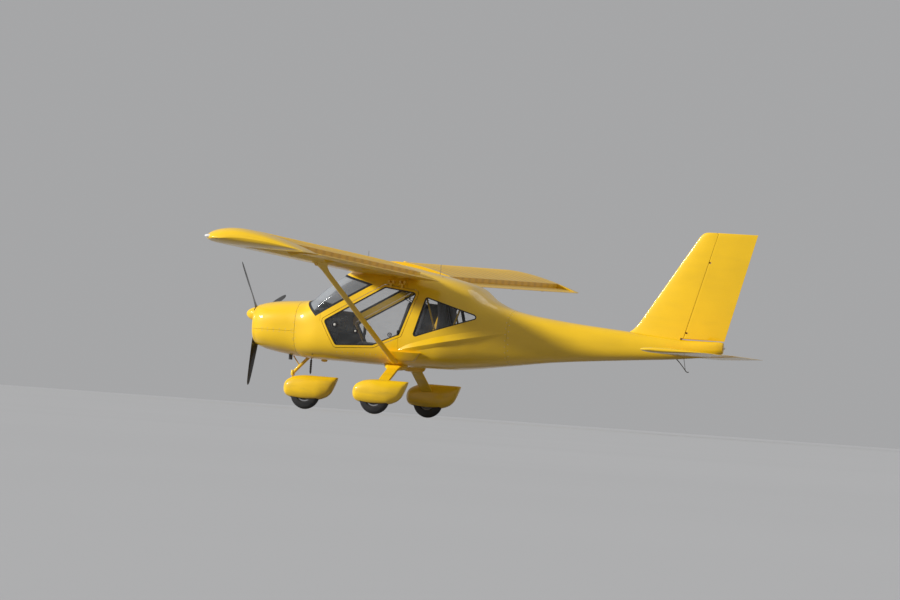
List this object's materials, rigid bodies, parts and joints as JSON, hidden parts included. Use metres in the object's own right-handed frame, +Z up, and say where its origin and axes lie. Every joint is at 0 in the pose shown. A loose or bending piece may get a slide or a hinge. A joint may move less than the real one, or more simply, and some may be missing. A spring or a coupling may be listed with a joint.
{
  "type": "two-seat high-wing microlight aircraft",
  "caption": "High-wing strut-braced light aircraft with nose wheel, faired wheels, tractor propeller, glazed cabin with upward doors, all-moving tailplane and swept fin.",
  "frame": {"origin": "middle of the aircraft's box, on the ground under its wheels", "axes": "+X towards the tail, +Y towards the right hand wing tip, +Z up"},
  "size_m": [6.205, 9.456, 2.345],
  "materials": {
    "yellow_gelcoat": "gloss",
    "yellow_fabric": "satin",
    "yellow_metal": "gloss",
    "clear_window": "gloss",
    "black_composite": "satin",
    "black_plastic": "satin",
    "grey_plastic": "satin",
    "seat_fabric": "matte",
    "engine_metal": "satin",
    "dark_metal": "satin",
    "bare_metal": "satin",
    "tyre_rubber": "matte"
  },
  "bodies": {
    "airframe": {"cowl_upper": "yellow_gelcoat", "cowl_lower": "yellow_gelcoat", "firewall": "bare_metal", "engine_block": "engine_metal", "exhaust": "engine_metal", "cabin_tub": "yellow_gelcoat", "roof_frame": "yellow_gelcoat", "aft_cabin": "yellow_gelcoat", "tail_cone": "yellow_gelcoat", "windscreen": "clear_window", "rear_window_left": "clear_window", "rear_window_right": "clear_window", "instrument_panel": "grey_plastic", "seat_base": "grey_plastic", "seat_left": "seat_fabric", "seat_right": "seat_fabric", "control_stick": "black_plastic", "wing_left": "yellow_fabric", "wing_right": "yellow_fabric", "wing_tip_left": "yellow_gelcoat", "wing_tip_right": "yellow_gelcoat", "strut_left": "yellow_metal", "strut_right": "yellow_metal", "fin": "yellow_fabric", "tail_skid": "dark_metal", "antennas": "black_plastic", "nose_leg": "yellow_metal", "main_leg_left": "yellow_metal", "main_leg_right": "yellow_metal", "main_pant_left": "yellow_gelcoat", "main_pant_right": "yellow_gelcoat"},
    "propeller": {"propeller": "black_composite", "spinner": "yellow_gelcoat"},
    "nose_gear": {"nose_fork": "yellow_metal", "nose_pant": "yellow_gelcoat"},
    "nose_wheel": {"nose_rim": "bare_metal", "nose_tyre": "tyre_rubber"},
    "main_wheel_left": {"main_rim_left": "bare_metal", "main_tyre_left": "tyre_rubber"},
    "main_wheel_right": {"main_rim_right": "bare_metal", "main_tyre_right": "tyre_rubber"},
    "door_left": {"door_left": "yellow_gelcoat", "door_window_left": "clear_window"},
    "door_right": {"door_right": "yellow_gelcoat", "door_window_right": "clear_window"},
    "flaperon_left": {"flaperon_left": "yellow_fabric"},
    "flaperon_right": {"flaperon_right": "yellow_fabric"},
    "rudder": {"rudder": "yellow_fabric"},
    "stabilator": {"stabilator": "yellow_fabric"}
  },
  "joints": [
    {"name": "propeller_spin", "type": "hinge", "parent": "airframe", "child": "propeller", "pos_m": [-2.9525, 0, 1.076], "axis": [1, 0, 0], "continuous": true},
    {"name": "nose_steering", "type": "hinge", "parent": "airframe", "child": "nose_gear", "pos_m": [-2.4675, 0, 0.416], "axis": [0, 0, 1], "range_deg": [-20, 20]},
    {"name": "nose_wheel_spin", "type": "hinge", "parent": "nose_gear", "child": "nose_wheel", "pos_m": [-2.2925, 0, 0.182], "axis": [0, 1, 0], "continuous": true},
    {"name": "left_wheel_spin", "type": "hinge", "parent": "airframe", "child": "main_wheel_left", "pos_m": [-1.0805, -0.9, 0.182], "axis": [0, 1, 0], "continuous": true},
    {"name": "right_wheel_spin", "type": "hinge", "parent": "airframe", "child": "main_wheel_right", "pos_m": [-1.0805, 0.9, 0.182], "axis": [0, 1, 0], "continuous": true},
    {"name": "left_door", "type": "hinge", "parent": "airframe", "child": "door_left", "pos_m": [-1.1025, -0.5748, 1.524], "axis": [-1, 0, 0], "range_deg": [0, 80]},
    {"name": "right_door", "type": "hinge", "parent": "airframe", "child": "door_right", "pos_m": [-1.1025, 0.5748, 1.524], "axis": [1, 0, 0], "range_deg": [0, 80]},
    {"name": "left_flaperon", "type": "hinge", "parent": "airframe", "child": "flaperon_left", "pos_m": [-0.75528, -0.60263, 1.60163], "axis": [0, 0.9997, -0.0262], "range_deg": [-15, 30]},
    {"name": "right_flaperon", "type": "hinge", "parent": "airframe", "child": "flaperon_right", "pos_m": [-0.75528, 0.60263, 1.60163], "axis": [0, 0.9997, 0.0262], "range_deg": [-15, 30]},
    {"name": "stabilator_pitch", "type": "hinge", "parent": "airframe", "child": "stabilator", "pos_m": [2.3375, 0, 0.945], "axis": [0, 1, 0], "range_deg": [-14, 12]},
    {"name": "rudder_yaw", "type": "hinge", "parent": "airframe", "child": "rudder", "pos_m": [2.42184, 0, 1.5], "axis": [0.257, 0, 0.9664], "range_deg": [-25, 25]}
  ]
}
